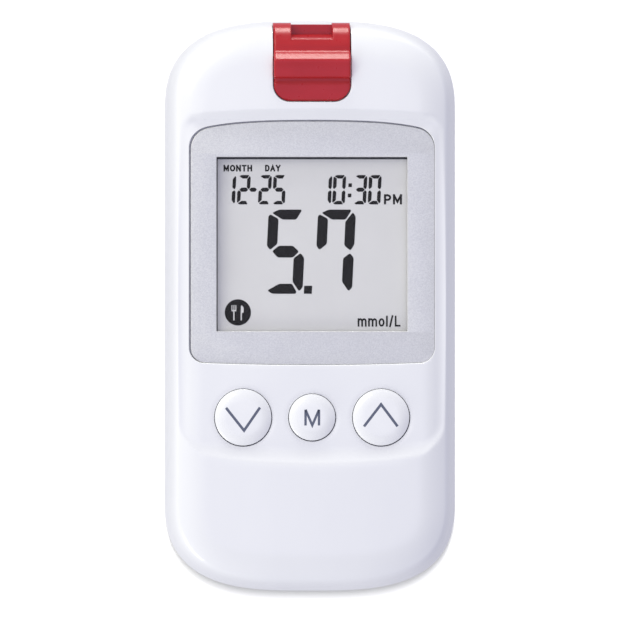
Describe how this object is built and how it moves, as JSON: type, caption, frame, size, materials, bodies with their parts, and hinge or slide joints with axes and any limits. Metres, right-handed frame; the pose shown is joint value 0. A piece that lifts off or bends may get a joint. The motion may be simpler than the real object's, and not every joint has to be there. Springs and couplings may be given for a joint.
{
  "type": "blood glucose meter",
  "caption": "Handheld blood glucose meter with a window display, round keys, a sliding strip ejector and a battery door.",
  "frame": {"origin": "middle of the back face that the meter lies on", "axes": "+Z out of the display, +Y along the meter towards the strip end, +X to the right as the display is read"},
  "size_m": [0.049, 0.096, 0.0224],
  "materials": {
    "shell_white": "glossy white moulded plastic",
    "key_white": "glossy white moulded plastic",
    "bezel_silver": "satin silver with fine metal flake",
    "window_clear": "clear polished",
    "lcd_face": "satin polarizer, pale grey",
    "lcd_back": "satin reflector, pale grey",
    "frame_white": "matte off-white",
    "zebra_rubber": "matte",
    "board_green": "green solder mask",
    "chip_black": "matte black",
    "socket_black": "matte black",
    "contact_gold": "gold plated",
    "screw_steel": "zinc plated",
    "spring_steel": "nickel plated",
    "cell_wrap": "printed wrap, plain grey",
    "ejector_red": "glossy red moulded plastic"
  },
  "bodies": {
    "housing": {"front_shell": "shell_white", "back_shell": "shell_white", "window_bezel": "bezel_silver", "display_window": "window_clear", "lcd_front_glass": "lcd_face", "lcd_rear_glass": "lcd_back", "lcd_frame": "frame_white", "zebra_strip": "zebra_rubber", "main_board": "board_green", "board_chips": "chip_black", "buzzer": "chip_black", "board_screws": "screw_steel", "tact_switches": "spring_steel", "strip_connector": "socket_black", "strip_contacts": "contact_gold", "ejector_spring": "spring_steel", "battery_cells": "cell_wrap", "battery_springs": "spring_steel", "battery_plates": "spring_steel", "case_screws": "screw_steel"},
    "down_key_body": {"key_down": "key_white", "plunger_down": "chip_black"},
    "memory_key_body": {"key_memory": "key_white", "plunger_memory": "chip_black"},
    "up_key_body": {"key_up": "key_white", "plunger_up": "chip_black"},
    "ejector_body": {"strip_ejector": "ejector_red", "ejector_carriage": "frame_white"},
    "door_body": {"battery_door": "shell_white"}
  },
  "joints": [
    {"name": "down_key_press", "type": "slide", "parent": "housing", "child": "down_key_body", "axis": [0, 0, -1], "range_m": [0, 0.0004], "stiffness_N_per_m": 3500, "springref_m": -0.0001},
    {"name": "memory_key_press", "type": "slide", "parent": "housing", "child": "memory_key_body", "axis": [0, 0, -1], "range_m": [0, 0.0004], "stiffness_N_per_m": 3500, "springref_m": -0.0001},
    {"name": "up_key_press", "type": "slide", "parent": "housing", "child": "up_key_body", "axis": [0, 0, -1], "range_m": [0, 0.0004], "stiffness_N_per_m": 3500, "springref_m": -0.0001},
    {"name": "ejector_slide", "type": "slide", "parent": "housing", "child": "ejector_body", "axis": [0, 1, 0], "range_m": [0, 0.0045], "stiffness_N_per_m": 300, "springref_m": -0.001, "deforming": ["ejector_spring"]},
    {"name": "battery_door_slide", "type": "slide", "parent": "housing", "child": "door_body", "axis": [0, -1, 0], "range_m": [0, 0.05]}
  ]
}
